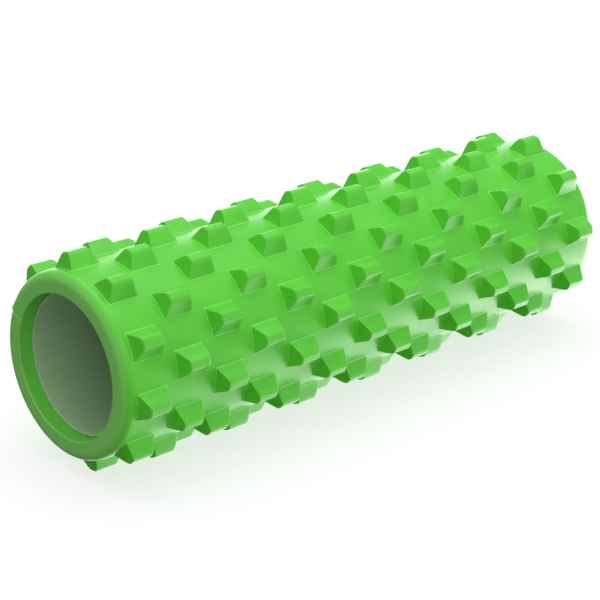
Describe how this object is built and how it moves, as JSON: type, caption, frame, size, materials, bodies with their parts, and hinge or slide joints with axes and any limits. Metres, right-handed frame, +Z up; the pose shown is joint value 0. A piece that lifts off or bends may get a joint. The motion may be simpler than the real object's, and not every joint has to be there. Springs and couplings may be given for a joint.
{
  "type": "foam massage roller",
  "caption": "Hollow cylindrical massage roller: a green foam sleeve covered in rows of blunt four-sided knobs, wrapped and bonded round a thin plastic core tube, open at both ends.",
  "frame": {"origin": "on the surface the roller lies on, under the middle of its length and on its axis's vertical plane", "axes": "+X along the roller's axis; +Z up; the roller lies on two neighbouring rows of knobs, and the sleeve's seam is at the back, towards +Y"},
  "size_m": [0.45, 0.1434, 0.1433],
  "materials": {
    "foam": "satin",
    "tube_plastic": "satin"
  },
  "bodies": {
    "root": {"foam_sleeve": "foam", "core_tube": "tube_plastic"}
  },
  "joints": []
}
